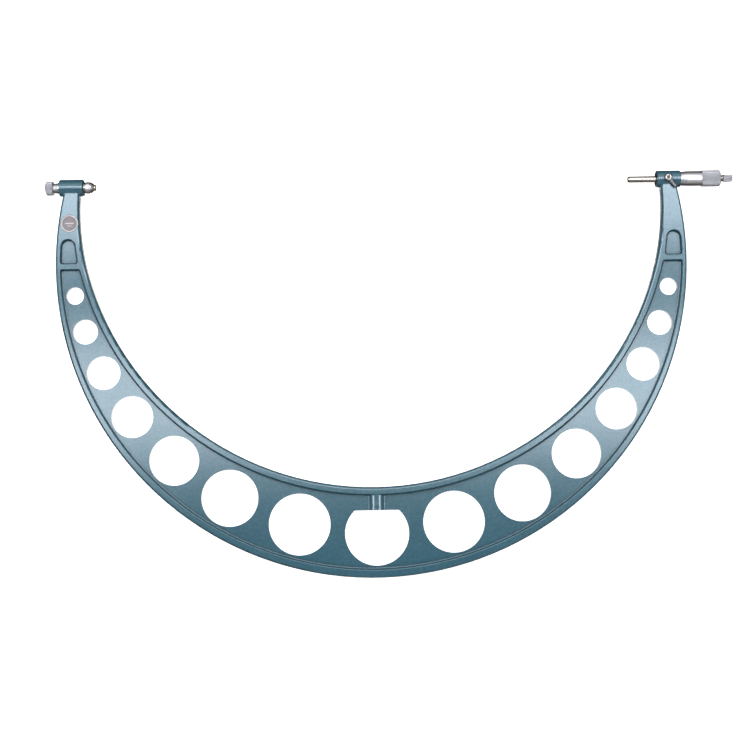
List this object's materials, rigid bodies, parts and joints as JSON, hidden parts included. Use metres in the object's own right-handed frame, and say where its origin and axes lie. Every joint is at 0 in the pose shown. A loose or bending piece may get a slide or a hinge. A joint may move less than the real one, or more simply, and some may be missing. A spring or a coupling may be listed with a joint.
{
  "type": "outside micrometer",
  "caption": "Large outside micrometer: ribbed arc frame with round holes, interchangeable clamped anvil, sliding spindle with thimble, ratchet stop and clamp lever.",
  "frame": {"origin": "centre of the anvil's measuring face, with the shortest anvil fitted and the spindle at its zero reading", "axes": "+X along the measuring axis from the anvil towards the spindle, +Z out of the frame's face that carries the clamp lever and the badge, and the frame's arc hangs towards -Y"},
  "size_m": [0.8703, 0.5069, 0.025],
  "materials": {
    "frame_paint": "semi-gloss pearl blue enamel over a fine cast texture",
    "badge_metal": "satin with a brighter rim",
    "polished_steel": "polished turned steel",
    "ground_steel": "ground and lapped",
    "carbide": "lapped cemented carbide",
    "satin_chrome": "satin chrome",
    "bright_chrome": "bright chrome",
    "knurled_chrome": "matt chrome over a fine knurl",
    "dark_steel": "dark turned steel",
    "blued_ring": "tempered brown, satin",
    "spring_steel": "drawn wire",
    "brass": "machined brass"
  },
  "bodies": {
    "frame": {"frame": "frame_paint", "badge": "badge_metal", "spindle_bush": "dark_steel", "inner_sleeve": "ground_steel", "outer_sleeve": "satin_chrome", "taper_nut": "dark_steel", "clamp_pad": "brass"},
    "anvil": {"anvil": "polished_steel", "anvil_tip": "carbide", "anvil_adjusting_nut": "satin_chrome", "anvil_lock_ring": "blued_ring"},
    "anvil_washer": {"anvil_washer": "polished_steel"},
    "anvil_clamp_nut": {"anvil_clamp_nut": "knurled_chrome"},
    "clamp_lever": {"clamp_lever": "bright_chrome", "clamp_screw": "dark_steel", "clamp_lever_screw": "brass"},
    "spindle": {"spindle": "ground_steel", "spindle_tip": "carbide"},
    "thimble": {"thimble": "satin_chrome", "ratchet_body": "dark_steel", "ratchet_screw": "dark_steel"},
    "ratchet_knob": {"ratchet_knob": "knurled_chrome", "ratchet_spring": "spring_steel"},
    "ratchet_pawl": {"ratchet_pawl": "ground_steel"}
  },
  "joints": [
    {"name": "thimble_turn", "type": "hinge", "parent": "spindle", "child": "thimble", "pos_m": [0.742, 0, 0], "axis": [1, 0, 0], "range_deg": [0, 18000]},
    {"name": "spindle_slide", "type": "slide", "parent": "frame", "child": "spindle", "axis": [1, 0, 0], "range_m": [0, 0.025]},
    {"name": "ratchet_turn", "type": "hinge", "parent": "thimble", "child": "ratchet_knob", "pos_m": [0.8, 0, 0], "axis": [1, 0, 0], "continuous": true},
    {"name": "ratchet_pawl_lift", "type": "slide", "parent": "ratchet_knob", "child": "ratchet_pawl", "axis": [1, 0, 0], "range_m": [0, 0.0005], "stiffness_N_per_m": 200, "springref_m": -0.001, "deforming": ["ratchet_spring"]},
    {"name": "clamp_lever_turn", "type": "hinge", "parent": "frame", "child": "clamp_lever", "pos_m": [0.7242, 0, 0.0111], "axis": [0, 0, 1], "range_deg": [-60, 0]},
    {"name": "anvil_slide", "type": "slide", "parent": "frame", "child": "anvil", "axis": [1, 0, 0], "range_m": [0, 0.045]},
    {"name": "clamp_nut_turn", "type": "hinge", "parent": "anvil_washer", "child": "anvil_clamp_nut", "pos_m": [-0.05, 0, 0], "axis": [1, 0, 0], "range_deg": [0, 2880]},
    {"name": "clamp_washer_slide", "type": "slide", "parent": "frame", "child": "anvil_washer", "axis": [-1, 0, 0], "range_m": [0, 0.008]}
  ],
  "couplings": [
    {"joint": "thimble_turn", "follows": "spindle_slide", "rad_per_m": 12566},
    {"joint": "clamp_washer_slide", "follows": "clamp_nut_turn", "m_per_rad": 0.00015915}
  ]
}
